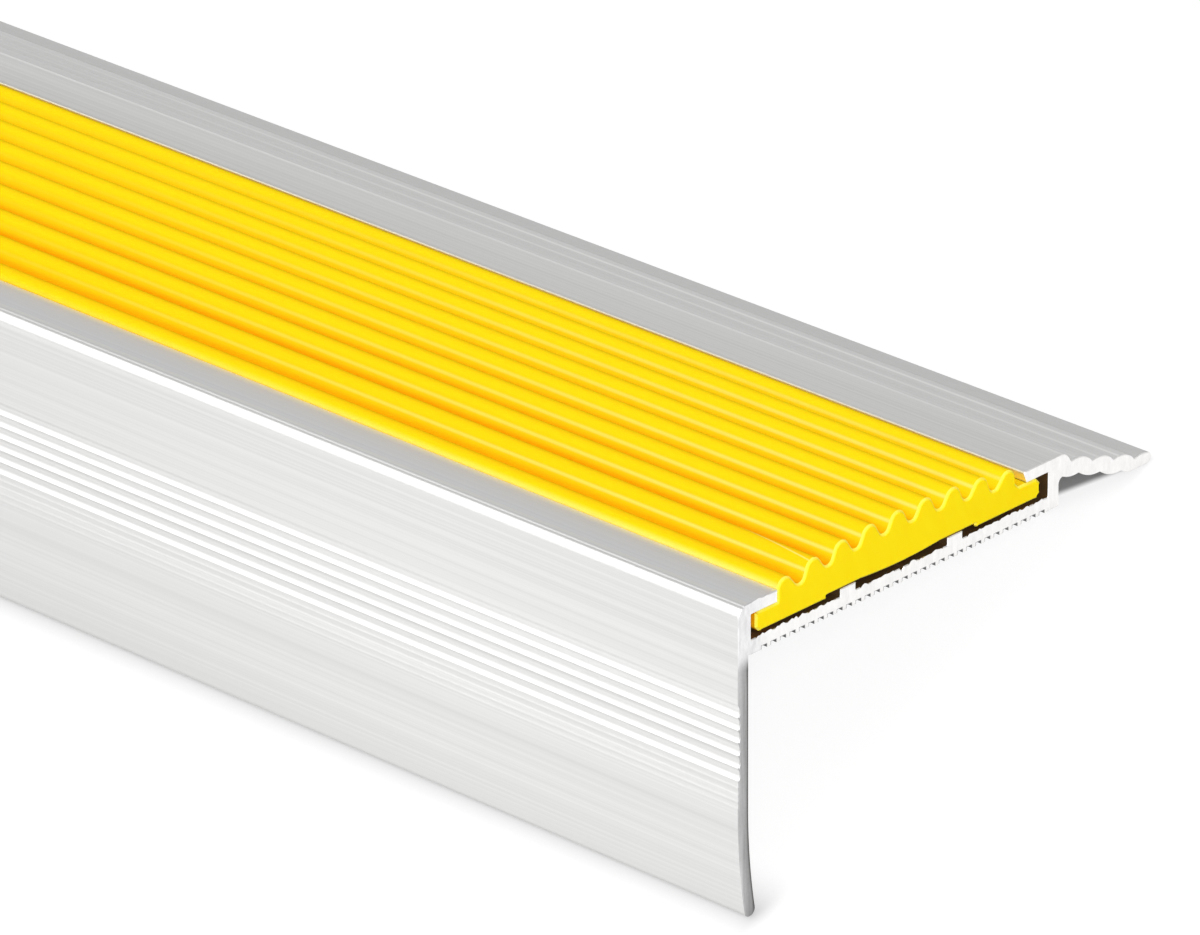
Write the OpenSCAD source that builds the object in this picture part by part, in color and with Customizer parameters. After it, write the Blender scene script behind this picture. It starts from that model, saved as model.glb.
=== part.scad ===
// Stair nosing: an extruded profile with a ribbed anti-slip insert held under its lips.
// The section is drawn as it sits on a step, front face on x = 0 and tread on y = 0,
// then turned onto the two edges that it rests on when it lies on a level floor.
// Sizes are in millimetres.

/* [Stock] */
// Length of the piece of stock
length = 1000; // [300:10:3000]

/* [Channel] */
// Clear width of the channel between its two walls
channel_w = 50; // [46:0.5:60]
// Clear height of the channel under its lips
channel_h = 3.1; // [2.9:0.1:4]
// Thickness of the channel floor
floor_t = 1.8; // [1.5:0.1:2.6]
// Thickness of the front wall
front_wall = 2.1; // [1.9:0.1:3]
// Thickness of the rear wall
rear_wall = 1.85; // [1.5:0.05:2.6]
// Thickness of the two lips that hold the insert
lip_t = 1.5; // [1.2:0.1:2]
// How far the front lip reaches over the channel
front_lip = 4.3; // [3.5:0.1:5]
// How far the rear lip reaches over the channel
rear_lip = 4.2; // [3.5:0.1:5]
// Slant of the free end of the rear lip
rear_lip_slant = 0.5; // [0:0.1:0.8]
// Radius of the rounded nose
nose_r = 1.35; // [0.8:0.05:1.4]

/* [Channel floor] */
// Width of each rail that carries the insert
rail_w = 2.55; // [1.8:0.05:3.2]
// Height of the rails
rail_h = 0.95; // [0.7:0.05:1.2]
// Distance between the middles of the two rails
rail_spacing = 18; // [15:0.5:20]
// Width of the drilling guide line in the floor
guide_w = 0.75; // [0.5:0.05:1.2]
// Depth of the drilling guide line
guide_d = 0.45; // [0.2:0.05:0.6]

/* [Bed] */
// Pitch of the grip lines on the underside of the floor
grip_pitch = 1.56; // [1.3:0.02:2]
// Width of each grip line
grip_w = 0.85; // [0.5:0.05:0.9]
// Depth of each grip line
grip_d = 0.45; // [0.2:0.05:0.5]
// Plain strip between the inner front wall and the middle of the first grip line
grip_start = 2.1; // [1.6:0.1:4]

/* [Riser leg] */
// How far the leg reaches down below the tread
leg_drop = 32.6; // [30:0.2:50]
// Thickness of the leg
leg_t = 1.7; // [1.5:0.05:1.9]
// How far the end of the leg springs in towards the riser
toe_in = 1.1; // [0.4:0.1:2]
// Distance from the tread down to the first flute
flute_drop = 5.55; // [4:0.05:6]
// Number of broad flutes on the front of the leg
flute_n = 6; // [4:1:6]
// Pitch of the broad flutes
flute_pitch = 1.57; // [1.2:0.01:1.6]
// Depth of the broad flutes
flute_d = 0.28; // [0.15:0.01:0.35]
// Number of fine flutes below the broad ones
fine_n = 4; // [2:1:5]
// Pitch of the fine flutes
fine_pitch = 0.87; // [0.6:0.01:0.9]
// Depth of the fine flutes
fine_d = 0.06; // [0.03:0.01:0.1]
// Straight strip between the last flute and the bend of the leg
bend_margin = 0.5; // [0.2:0.1:2]

/* [Rear ramp] */
// How far the flat of the rear lip runs on past the rear wall
lip_run = 0.4; // [0.2:0.05:0.8]
// How far the edge from the rear lip down to the first valley bows out
lip_bow = 0.28; // [0.1:0.02:0.35]
// Distance from the rear wall back to the first valley of the ramp
ramp_start = 2.1; // [1.8:0.1:3]
// Drop from the lip to the first valley of the ramp
ramp_fall = 1.45; // [1.2:0.05:1.7]
// Number of full rolls on the ramp
roll_n = 3; // [3:1:4]
// Pitch of the rolls along the slope
roll_pitch = 3.9; // [3.6:0.1:4.6]
// Height of the rolls on the top
roll_h = 0.52; // [0.3:0.02:0.6]
// Height of the rolls on the underside
under_h = 0.38; // [0.2:0.02:0.45]
// Height of the shorter roll on the underside next to the rear wall
under_first_h = 0.23; // [0.1:0.01:0.3]
// Rise of the underside from its first valley to the fillet at the rear wall
under_rise = 0.45; // [0.2:0.05:0.8]
// Radius of the fillet between the rear wall and the underside of the ramp
fillet_r = 0.7; // [0.4:0.05:0.9]
// Height of the flat roll on the tip
tip_roll_h = 0.18; // [0.1:0.01:0.3]
// Thickness of the ramp between an upper roll's chord and a lower valley
ramp_web = 1.4; // [1.2:0.05:1.6]
// Thickness of the rounded tip of the ramp
tip_t = 1.44; // [1.2:0.02:1.5]
// Distance from the last valley to the end of the tip
tip_len = 3; // [2.4:0.1:4]
// Length of the flat foot under the tip
foot_len = 4.1; // [3.6:0.1:4.4]

/* [Insert] */
// Least pitch of the ribs, whose number follows from the width of the insert
rib_pitch_min = 4.6; // [4.5:0.1:6]
// Radius of the rib crests
crest_r = 1.3; // [1.1:0.05:1.4]
// Radius of the grooves between the ribs
groove_r = 0.8; // [0.6:0.05:0.85]
// Depth of the grooves
groove_d = 2; // [1.6:0.1:2.2]
// Height of the outer rib crests above the lips
rib_rise = 1.05; // [0.8:0.05:1.6]
// How much higher the middle rib stands than the outer ones
crown = 1.55; // [0.5:0.05:2]
// Slope between the rear rib and the rear tongue
shoulder = 0.6; // [0.3:0.1:0.8]
// Thickness of the tongues that reach under the lips
tongue_t = 2.5; // [1.9:0.05:2.55]
// Chamfer on the edges of the tongues
tongue_chamfer = 0.6; // [0.3:0.05:0.8]
// Strip between a rail and the edge of the recess under the insert
recess_margin = 2.25; // [1.5:0.05:3]
// Sag of the recess between the rails
belly = 0.3; // [0.1:0.05:0.4]
// Flat strip inside each rail before the recess starts to sag
belly_margin = 1; // [0.5:0.1:2]

/* [Clearances] */
// Gap between the insert's tongues and the lips above them
lip_gap = 0.1; // [0.05:0.05:0.3]
// Gap between the insert and the free end of the front lip
front_gap = 0.1; // [0.05:0.05:0.4]
// Gap between the insert and the free end of the rear lip
rear_gap = 1.4; // [0.4:0.1:1.6]
// Gap between the front tongue and the front wall
tongue_gap_front = 0.85; // [0.4:0.05:1.2]
// Gap between the rear tongue and the rear wall
tongue_gap_rear = 1.4; // [0.6:0.1:1.6]

/* [Hidden] */

// Steps along each small arc and along each long arc
arc_n = 8;
long_n = 14;

// Heights and places shared by both pieces
lip_z = floor_t + channel_h;
top_z = lip_z + lip_t;
wall_f = front_wall;
wall_r = front_wall + channel_w;
back_y = wall_r + rear_wall;
mid_y = front_wall + channel_w / 2;
rail_top = floor_t + rail_h;
lip_end_f = wall_f + front_lip;
lip_end_r = wall_r - rear_lip;

// Points on an arc about a middle, from one angle to the other
function arc(c, r, a0, a1, n = arc_n) =
    [for (i = [0:n]) let (a = a0 + (a1 - a0) * i / n) c + r * [cos(a), sin(a)]];

// Points on an arc from one point to another that bows out to the left by h
function bow(p, q, h, n = arc_n) =
    let (
        d = norm(q - p),
        along = (q - p) / d,
        left = [-along[1], along[0]],
        r = (d * d / 4 + h * h) / (2 * abs(h)),
        half = asin(min(1, d / 2 / r)),
        mid = (p + q) / 2,
        side = sign(h)
    )
    [for (i = [0:n]) let (a = -half + 2 * half * i / n)
        mid + along * r * sin(a) + left * side * (r * cos(a) - r * cos(half))];

// Every list of points in turn as one list
function joined(lists) = [for (part = lists) for (p = part) p];

// Riser leg: straight behind the flutes, then springing in on one radius to a round end
leg_bend = flute_drop + flute_n * flute_pitch + fine_n * fine_pitch + bend_margin;
toe_run = leg_drop - leg_bend - leg_t / 2;
toe_r = (toe_run * toe_run + toe_in * toe_in) / (2 * toe_in);
toe_a = asin(toe_run / toe_r);
toe_c = [leg_t / 2 + toe_r, -leg_bend];
leg_end = toe_c + toe_r * [-cos(toe_a), -sin(toe_a)];
fine_z = -flute_drop - flute_n * flute_pitch;

// Rear ramp: valleys in a row on a slope that brings the tip down to the tread
valley_0 = [back_y + ramp_start, top_z - ramp_fall];
ramp_a = asin((valley_0[1] - tip_t) / (roll_n * roll_pitch));
ramp_dir = [cos(ramp_a), -sin(ramp_a)];
ramp_up = [sin(ramp_a), cos(ramp_a)];
function valley(i) = valley_0 + i * roll_pitch * ramp_dir;
function under_valley(i) = valley(i + 0.5) - ramp_web * ramp_up;
tip_c = [valley(roll_n)[0] + tip_len - tip_t / 2, tip_t / 2];
foot_y = tip_c[0] + tip_t / 2 - foot_len;
fillet_top = [back_y + fillet_r, under_valley(0)[1] + under_rise];

// Square grip lines under the floor, which stop this far from the inner rear wall
grip_end = 0.8;
grip_n = floor((channel_w - grip_start - grip_end) / grip_pitch) + 1;
function grip_y(i) = wall_f + grip_start + i * grip_pitch;

// Insert: ribs on a crown between the lips
insert_f = lip_end_f + front_gap;
insert_r = lip_end_r - rear_gap;
rib_n = floor((insert_r - insert_f - 2 * crest_r) / rib_pitch_min) + 1;
rib_pitch = (insert_r - insert_f - 2 * crest_r) / (rib_n - 1);
rib_half = (rib_n - 1) / 2;
insert_mid = (insert_f + insert_r) / 2;
crown_span = rib_half * rib_pitch;
crown_r = (crown_span * crown_span + crown * crown) / (2 * crown);
crest_mid = top_z + rib_rise + crown;
function crest_z(y) = crest_mid - crown_r + sqrt(crown_r * crown_r - pow(y - insert_mid, 2));
function rib_y(i) = insert_mid + (i - rib_half) * rib_pitch;
function crest_c(i) = [rib_y(i), crest_z(rib_y(i)) - crest_r];
function groove_c(i) =
    let (y = (rib_y(i) + rib_y(i + 1)) / 2) [y, crest_z(y) - groove_d + groove_r];

// Angle at which the straight flank between a crest and a groove leaves both arcs
function flank_a(from, to) =
    let (v = to - from) atan2(v[1], v[0]) + acos((crest_r + groove_r) / norm(v));
function flank_b(from, to) =
    let (v = to - from) atan2(v[1], v[0]) - acos((crest_r + groove_r) / norm(v));
tongue_top = lip_z - lip_gap;
tongue_low = tongue_top - tongue_t;
tongue_f = wall_f + tongue_gap_front;
tongue_r = wall_r - tongue_gap_rear;
recess_f = mid_y - rail_spacing / 2 - rail_w / 2 - recess_margin;
recess_r = mid_y + rail_spacing / 2 + rail_w / 2 + recess_margin;
recess_chamfer = (rail_top - tongue_low) / 2;
belly_f = mid_y - rail_spacing / 2 + rail_w / 2 + belly_margin;
belly_r = mid_y + rail_spacing / 2 - rail_w / 2 - belly_margin;

// Rest on a level floor: the round leg end and the round ramp tip both touch it
rest_v = tip_c - leg_end;
rest_a = atan2(rest_v[1], rest_v[0]) - asin((tip_t / 2 - leg_t / 2) / norm(rest_v));
function turned(p) =
    [p[0] * cos(rest_a) + p[1] * sin(rest_a), p[1] * cos(rest_a) - p[0] * sin(rest_a)];
rest_low = turned(leg_end)[1] - leg_t / 2;
rest_mid = (turned(leg_end)[0] - leg_t / 2 + turned(tip_c)[0] + tip_t / 2) / 2;

// Underside from the back of the leg to the rear wall, with its grip lines
function bed_points() = joined([for (i = [0:grip_n - 1]) [
    [grip_y(i) - grip_w / 2, 0],
    [grip_y(i) - grip_w / 2, grip_d],
    [grip_y(i) + grip_w / 2, grip_d],
    [grip_y(i) + grip_w / 2, 0]
]]);

// Underside of the ramp from the rear wall to the foot
function ramp_under_points() = joined([
    arc(fillet_top - [0, fillet_r], fillet_r, 180, 90),
    bow(fillet_top, under_valley(0), -under_first_h),
    joined([for (i = [0:roll_n - 2]) bow(under_valley(i), under_valley(i + 1), -under_h)]),
    [[foot_y, 0]]
]);

// Top of the ramp from its tip up to the lip
function ramp_top_points() = joined([
    arc(tip_c, tip_t / 2, -90, 90, long_n),
    bow([tip_c[0], tip_t], valley(roll_n), -tip_roll_h),
    joined([for (i = [roll_n - 1:-1:0]) bow(valley(i + 1), valley(i), -roll_h)]),
    bow(valley_0, [back_y + lip_run, top_z], -lip_bow)
]);

// Inside of the channel from the rear lip round to the front lip
function channel_points() = [
    [lip_end_r, top_z],
    [lip_end_r + rear_lip_slant, lip_z],
    [wall_r, lip_z],
    [wall_r, floor_t],
    [mid_y + rail_spacing / 2 + rail_w / 2, floor_t],
    [mid_y + rail_spacing / 2 + rail_w / 2, rail_top],
    [mid_y + rail_spacing / 2 - rail_w / 2, rail_top],
    [mid_y + rail_spacing / 2 - rail_w / 2, floor_t],
    [mid_y + guide_w / 2, floor_t],
    [mid_y, floor_t - guide_d],
    [mid_y - guide_w / 2, floor_t],
    [mid_y - rail_spacing / 2 + rail_w / 2, floor_t],
    [mid_y - rail_spacing / 2 + rail_w / 2, rail_top],
    [mid_y - rail_spacing / 2 - rail_w / 2, rail_top],
    [mid_y - rail_spacing / 2 - rail_w / 2, floor_t],
    [wall_f, floor_t],
    [wall_f, lip_z],
    [lip_end_f, lip_z],
    [lip_end_f, top_z]
];

// Front of the nosing from the nose down its flutes to the start of the bend
function front_points() = joined([
    arc([nose_r, top_z - nose_r], nose_r, 90, 180),
    joined([for (i = [0:flute_n - 1])
        bow([0, -flute_drop - i * flute_pitch], [0, -flute_drop - (i + 1) * flute_pitch], flute_d)]),
    joined([for (i = [0:fine_n - 1])
        bow([0, fine_z - i * fine_pitch], [0, fine_z - (i + 1) * fine_pitch], fine_d, 4)])
]);

// Lower leg round its end and back up to the corner under the tread
function leg_points() = joined([
    arc(toe_c, toe_r + leg_t / 2, 180, 180 + toe_a, long_n),
    arc(leg_end, leg_t / 2, 180 + toe_a, 360 + toe_a, long_n),
    arc(toe_c, toe_r - leg_t / 2, 180 + toe_a, 180, long_n),
    [[leg_t, 0]]
]);

module profile_section() {
    polygon(joined([
        bed_points(),
        [[back_y, 0]],
        ramp_under_points(),
        ramp_top_points(),
        channel_points(),
        front_points(),
        leg_points()
    ]));
}

// Top of the insert from the front rib to the rear rib
function rib_points() = joined([for (i = [0:rib_n - 1])
    let (
        a0 = i == 0 ? 180 : flank_b(groove_c(i - 1), crest_c(i)) + 180,
        a1 = i == rib_n - 1 ? 0 : flank_a(crest_c(i), groove_c(i))
    )
    joined([
        arc(crest_c(i), crest_r, a0, a1, long_n),
        i == rib_n - 1 ? [] : arc(
            groove_c(i), groove_r,
            flank_a(crest_c(i), groove_c(i)) + 180,
            flank_b(groove_c(i), crest_c(i + 1)) + 360
        )
    ])]);

module insert_section() {
    polygon(joined([
        [[tongue_f, tongue_top], [insert_f, tongue_top]],
        rib_points(),
        [[insert_r, tongue_top + shoulder], [insert_r + shoulder, tongue_top]],
        [[tongue_r - tongue_chamfer, tongue_top]],
        [[tongue_r, tongue_top - tongue_chamfer]],
        [[tongue_r, tongue_low + tongue_chamfer]],
        [[tongue_r - tongue_chamfer, tongue_low]],
        [[recess_r + recess_chamfer, tongue_low], [recess_r, tongue_low + recess_chamfer]],
        [[recess_r, rail_top]],
        bow([belly_r, rail_top], [belly_f, rail_top], belly, long_n),
        [[recess_f, rail_top]],
        [[recess_f, tongue_low + recess_chamfer], [recess_f - recess_chamfer, tongue_low]],
        [[tongue_f + tongue_chamfer, tongue_low], [tongue_f, tongue_low + tongue_chamfer]]
    ]));
}

// Run a section along the length in the attitude in which the nosing rests
module stock() {
    translate([-length / 2, -rest_mid, -rest_low])
        rotate([90, 0, 90])
            linear_extrude(height = length)
                rotate(-rest_a)
                    children();
}

module aluminium_profile() {
    color("silver")
        stock()
            profile_section();
}

module ribbed_insert() {
    color("gold")
        stock()
            insert_section();
}

aluminium_profile();
ribbed_insert();
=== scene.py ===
from math import acos, asin, atan2, ceil, cos, degrees, exp, floor, radians, sin, sqrt

import bpy
from mathutils import Matrix, Vector


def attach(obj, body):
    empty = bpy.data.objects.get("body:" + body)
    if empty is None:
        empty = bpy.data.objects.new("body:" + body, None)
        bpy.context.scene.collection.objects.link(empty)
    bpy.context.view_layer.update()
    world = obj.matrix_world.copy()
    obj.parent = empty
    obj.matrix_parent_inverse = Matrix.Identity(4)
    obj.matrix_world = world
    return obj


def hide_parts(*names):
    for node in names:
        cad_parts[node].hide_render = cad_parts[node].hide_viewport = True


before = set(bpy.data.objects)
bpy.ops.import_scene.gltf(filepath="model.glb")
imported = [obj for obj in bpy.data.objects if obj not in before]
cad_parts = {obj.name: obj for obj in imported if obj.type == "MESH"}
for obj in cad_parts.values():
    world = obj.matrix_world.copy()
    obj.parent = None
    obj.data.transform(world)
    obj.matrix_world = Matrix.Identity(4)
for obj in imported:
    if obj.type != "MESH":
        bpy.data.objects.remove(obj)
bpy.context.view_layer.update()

# Sizes of the stock in millimetres, the same as in the part's source
LENGTH = 1000.0
CHANNEL_W = 50.0
CHANNEL_H = 3.1
FLOOR_T = 1.8
FRONT_WALL = 2.1
REAR_WALL = 1.85
LIP_T = 1.5
FRONT_LIP = 4.3
REAR_LIP = 4.2
REAR_LIP_SLANT = 0.5
NOSE_R = 1.35
RAIL_W = 2.55
RAIL_H = 0.95
RAIL_SPACING = 18.0
GUIDE_W = 0.75
GUIDE_D = 0.45
GRIP_PITCH = 1.56
GRIP_W = 0.85
GRIP_D = 0.45
GRIP_START = 2.1
GRIP_END = 0.8
LEG_DROP = 32.6
LEG_T = 1.7
TOE_IN = 1.1
FLUTE_DROP = 5.55
FLUTE_N = 6
FLUTE_PITCH = 1.57
FLUTE_D = 0.28
FINE_N = 4
FINE_PITCH = 0.87
FINE_D = 0.06
BEND_MARGIN = 0.5
LIP_RUN = 0.4
LIP_BOW = 0.28
RAMP_START = 2.1
RAMP_FALL = 1.45
ROLL_N = 3
ROLL_PITCH = 3.9
ROLL_H = 0.52
UNDER_H = 0.38
UNDER_FIRST_H = 0.23
UNDER_RISE = 0.45
FILLET_R = 0.7
TIP_ROLL_H = 0.18
RAMP_WEB = 1.4
TIP_T = 1.44
TIP_LEN = 3.0
FOOT_LEN = 4.1
RIB_PITCH_MIN = 4.6
CREST_R = 1.3
GROOVE_R = 0.8
GROOVE_D = 2.0
RIB_RISE = 1.05
CROWN = 1.55
SHOULDER = 0.6
TONGUE_T = 2.5
TONGUE_CHAMFER = 0.6
RECESS_MARGIN = 2.25
BELLY = 0.3
BELLY_MARGIN = 1.0
LIP_GAP = 0.1
FRONT_GAP = 0.1
REAR_GAP = 1.4
TONGUE_GAP_FRONT = 0.85
TONGUE_GAP_REAR = 1.4

# Relief that only the finished surface has, in millimetres and degrees
NOSE_STEPS = 45
NOSE_LINE_A = 25.0
NOSE_LINE_W = 7.0
NOSE_LINE_D = 0.05
LIP_ROUND = 0.35
EASED_BEND = 22.0
METAL_EASE = 0.1
INSERT_EASE = 0.12

# Painted highlight on the front shoulders of the ribs and painted shade on their rear sides: angles from the
# crest in degrees, and runs down the flank in millimetres
FRONT_SHOULDER_A = 82.0
FRONT_SHOULDER_W = 42.0
SHOULDER_DOWN = 0.24
SHOULDER_W = 0.34
REAR_SIDE_A = 12.0
REAR_SIDE_W = 20.0
ON_RIB = 0.05
OFF_RIB = 500.0

# Depths that the insert's finish tells apart, and where its tongue and underside begin in millimetres
IN_GROOVE = 1.0
ON_TONGUE = 2.0
UNDERNEATH = 3.0
TONGUE_EDGE = 0.2
UNDERSIDE_H = 0.7

# Scuff on one rib near the sawn end
SCUFFED_RIB = 1
SCUFF_RUN = 12.7
SCUFF_END_A = 28.0
SCUFF_START_A = -32.0
SCUFF_W = 8.0

# Stretches over which the painted highlights and painted shade change, in millimetres from the middle of the
# stock, and the highlight's share on each roll
RIB_HIGHLIGHT_RUN = (365.0, 490.0)
RAMP_HIGHLIGHT_RUN = (320.0, 400.0)
FRONT_SHADE_RUN = (375.0, 455.0)
ROLL_HIGHLIGHT_SHARES = (0.3, 0.5, 0.85)

# Steps of the outlines, and how near a face a point counts as on it, in millimetres
METAL_STEP = 0.35
INSERT_STEP = 0.2
ON_FACE = 0.01

# Sawn ends: breaks and burr in metres, the bend that shades smooth in degrees, the slant that counts as cut
METAL_BREAK = 0.0001
INSERT_BREAK = 0.0003
METAL_BURR = 0.0004
METAL_SEED = 3.0
INSERT_SEED = 8.0
BURR_SCALE = 1100.0
SMOOTH_BEND = 28.0
CUT_FACING = 0.35

# Places shared by both pieces
LIP_Z = FLOOR_T + CHANNEL_H
TOP_Z = LIP_Z + LIP_T
WALL_F = FRONT_WALL
WALL_R = FRONT_WALL + CHANNEL_W
BACK_Y = WALL_R + REAR_WALL
MID_Y = FRONT_WALL + CHANNEL_W / 2
RAIL_TOP = FLOOR_T + RAIL_H
LIP_END_F = WALL_F + FRONT_LIP
LIP_END_R = WALL_R - REAR_LIP

# Leg, which bends in on one radius to a round end
LEG_BEND = FLUTE_DROP + FLUTE_N * FLUTE_PITCH + FINE_N * FINE_PITCH + BEND_MARGIN
TOE_RUN = LEG_DROP - LEG_BEND - LEG_T / 2
TOE_R = (TOE_RUN**2 + TOE_IN**2) / (2 * TOE_IN)
TOE_A = degrees(asin(TOE_RUN / TOE_R))
TOE_C = Vector((LEG_T / 2 + TOE_R, -LEG_BEND))
LEG_END = TOE_C - TOE_R * Vector((cos(radians(TOE_A)), sin(radians(TOE_A))))
FINE_Z = -FLUTE_DROP - FLUTE_N * FLUTE_PITCH

# Ramp, whose valleys stand in a row on a slope down to the tread
VALLEY_0 = Vector((BACK_Y + RAMP_START, TOP_Z - RAMP_FALL))
RAMP_A = asin((VALLEY_0.y - TIP_T) / (ROLL_N * ROLL_PITCH))
RAMP_DIR = Vector((cos(RAMP_A), -sin(RAMP_A)))
RAMP_UP = Vector((sin(RAMP_A), cos(RAMP_A)))
TIP_C = Vector((VALLEY_0.x + ROLL_N * ROLL_PITCH * RAMP_DIR.x + TIP_LEN - TIP_T / 2, TIP_T / 2))

# Rest on the floor, on the leg's end and the ramp's tip
REST_V = TIP_C - LEG_END
REST_A = atan2(REST_V.y, REST_V.x) - asin((TIP_T / 2 - LEG_T / 2) / REST_V.length)


def turned(p):
    """A point of the section, turned the way the nosing lies on the floor."""
    return Vector((p[0] * cos(REST_A) + p[1] * sin(REST_A), p[1] * cos(REST_A) - p[0] * sin(REST_A)))


REST_LOW = turned(LEG_END).y - LEG_T / 2
REST_MID = (turned(LEG_END).x - LEG_T / 2 + turned(TIP_C).x + TIP_T / 2) / 2
SECTION_Y = REST_MID * cos(REST_A) - REST_LOW * sin(REST_A)
SECTION_Z = REST_MID * sin(REST_A) + REST_LOW * cos(REST_A)


def placed(p):
    """A point of the section in millimetres as (y, z) of the frame in metres."""
    q = turned(p)
    return (q.x - REST_MID) / 1000, (q.y - REST_LOW) / 1000


# Outline helpers


def arc(c, r, a0, a1, n=12):
    """Points on an arc about c from angle a0 to a1 in degrees."""
    c = Vector(c)
    steps = [radians(a0 + (a1 - a0) * i / n) for i in range(n + 1)]
    return [c + r * Vector((cos(a), sin(a))) for a in steps]


def bow(p, q, h, n=12):
    """Points on an arc from p to q that bows out to the left by h."""
    p = Vector(p)
    q = Vector(q)
    d = (q - p).length
    along = (q - p) / d
    left = Vector((-along.y, along.x))
    r = (d * d / 4 + h * h) / (2 * abs(h))
    half = asin(min(1.0, d / 2 / r))
    side = 1 if h > 0 else -1
    points = []
    for i in range(n + 1):
        a = -half + 2 * half * i / n
        points.append((p + q) / 2 + along * r * sin(a) + left * side * (r * cos(a) - r * cos(half)))
    return points


def without_repeats(points):
    """The outline with points that fall on each other taken once."""
    same = 1e-4
    kept = []
    for p in points:
        p = Vector(p)
        if not kept or (p - kept[-1]).length > same:
            kept.append(p)
    if (kept[0] - kept[-1]).length < same:
        kept.pop()
    return kept


def eased(points, r):
    """The outline with every real corner eased by about r, as a die and wear leave it."""
    most = 0.42
    out = []
    n = len(points)
    for i, p in enumerate(points):
        before = points[i - 1] - p
        after = points[(i + 1) % n] - p
        bend = 180 - degrees(before.angle(after))
        if bend < EASED_BEND:
            out.append(p)
            continue
        a = p + before.normalized() * min(r, before.length * most)
        b = p + after.normalized() * min(r, after.length * most)
        for t in (0.0, 0.33, 0.67, 1.0):
            out.append(a * (1 - t) ** 2 + p * 2 * t * (1 - t) + b * t * t)
    return out


def divided(points, step):
    """The outline with its long straight runs cut into steps, so that a sawn edge can be ragged."""
    out = []
    n = len(points)
    for i, p in enumerate(points):
        q = points[(i + 1) % n]
        parts = max(1, ceil((q - p).length / step))
        out.extend(p + (q - p) * k / parts for k in range(parts))
    return out


def inward(points, reach):
    """Directions into the section, short where a break of that reach would fold an edge, none on the bed."""
    least_turn = 0.6
    least_run = 0.3
    shorter = 0.85
    n = len(points)
    area = sum(points[i - 1].cross(points[i]) for i in range(n))
    turn = 1 if area > 0 else -1
    ways = []
    for i, p in enumerate(points):
        d0 = (p - points[i - 1]).normalized()
        d1 = (points[(i + 1) % n] - p).normalized()
        n0 = Vector((-d0.y, d0.x)) * turn
        n1 = Vector((-d1.y, d1.x)) * turn
        mid = (n0 + n1).normalized()
        on_bed = -ON_FACE < p.y < GRIP_D + ON_FACE and WALL_F < p.x < WALL_R
        ways.append(mid / max(least_turn, mid.dot(n0)) * (0.0 if on_bed else 1.0))
    folded = True
    while folded:
        folded = False
        for i in range(n):
            j = (i + 1) % n
            run = points[j] - points[i]
            moved = run + (ways[j] - ways[i]) * reach
            if moved.dot(run) < least_run * run.length_squared:
                ways[i] *= shorter
                ways[j] *= shorter
                folded = True
    return ways


def ragged_edge(points):
    """Share of the saw's burr: most on the channel floor, less on the front lip, none near a corner."""
    least_bend = 2
    on_lip = 0.5
    n = len(points)
    bends = []
    for i, p in enumerate(points):
        bends.append(degrees((p - points[i - 1]).angle(points[(i + 1) % n] - p)) > least_bend)
    shares = []
    for i, p in enumerate(points):
        near_bend = any(bends[(i + k) % n] for k in (-2, -1, 0, 1, 2))
        share = 1.0 if abs(p.y - FLOOR_T) < ON_FACE else 0.0
        if abs(p.y - TOP_Z) < ON_FACE and p.x < MID_Y:
            share = on_lip
        shares.append(0.0 if near_bend else share)
    return shares


# Section of the extrusion


def valley(i):
    """Valley i of the ramp's top."""
    return VALLEY_0 + i * ROLL_PITCH * RAMP_DIR


def under_valley(i):
    """Valley i of the ramp's underside, half a roll further on."""
    return valley(i + 0.5) - RAMP_WEB * RAMP_UP


def bed_points():
    """Underside of the floor, with its grip lines."""
    count = floor((CHANNEL_W - GRIP_START - GRIP_END) / GRIP_PITCH) + 1
    points = []
    for i in range(count):
        front = WALL_F + GRIP_START + i * GRIP_PITCH - GRIP_W / 2
        rear = WALL_F + GRIP_START + i * GRIP_PITCH + GRIP_W / 2
        points += [(front, 0), (front, GRIP_D), (rear, GRIP_D), (rear, 0)]
    return points + [(BACK_Y, 0)]


def ramp_points():
    """Underside of the ramp to its foot, round the tip and back up to the lip."""
    fillet_top = Vector((BACK_Y + FILLET_R, under_valley(0).y + UNDER_RISE))
    points = arc(fillet_top - Vector((0, FILLET_R)), FILLET_R, 180, 90)
    points += bow(fillet_top, under_valley(0), -UNDER_FIRST_H)
    for i in range(ROLL_N - 1):
        points += bow(under_valley(i), under_valley(i + 1), -UNDER_H)
    points += [(TIP_C.x + TIP_T / 2 - FOOT_LEN, 0)]
    points += arc(TIP_C, TIP_T / 2, -90, 90, 24)
    points += bow((TIP_C.x, TIP_T), valley(ROLL_N), -TIP_ROLL_H)
    for i in reversed(range(ROLL_N)):
        points += bow(valley(i + 1), valley(i), -ROLL_H, 16)
    return points + bow(VALLEY_0, (BACK_Y + LIP_RUN, TOP_Z), -LIP_BOW)


def rail_points(y):
    """One rail on the channel floor, drawn from rear to front."""
    rear = y + RAIL_W / 2
    front = y - RAIL_W / 2
    return [(rear, FLOOR_T), (rear, RAIL_TOP), (front, RAIL_TOP), (front, FLOOR_T)]


def channel_points():
    """Inside of the channel from the rear lip round to the front lip."""
    points = arc((LIP_END_R + LIP_ROUND, TOP_Z - LIP_ROUND), LIP_ROUND, 90, 180, 8)
    points += [(LIP_END_R + REAR_LIP_SLANT, LIP_Z)]
    points += [(WALL_R, LIP_Z), (WALL_R, FLOOR_T)]
    points += rail_points(MID_Y + RAIL_SPACING / 2)
    points += [(MID_Y + GUIDE_W / 2, FLOOR_T), (MID_Y, FLOOR_T - GUIDE_D), (MID_Y - GUIDE_W / 2, FLOOR_T)]
    points += rail_points(MID_Y - RAIL_SPACING / 2)
    points += [(WALL_F, FLOOR_T), (WALL_F, LIP_Z)]
    return points + [(LIP_END_F, LIP_Z), (LIP_END_F, TOP_Z)]


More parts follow.
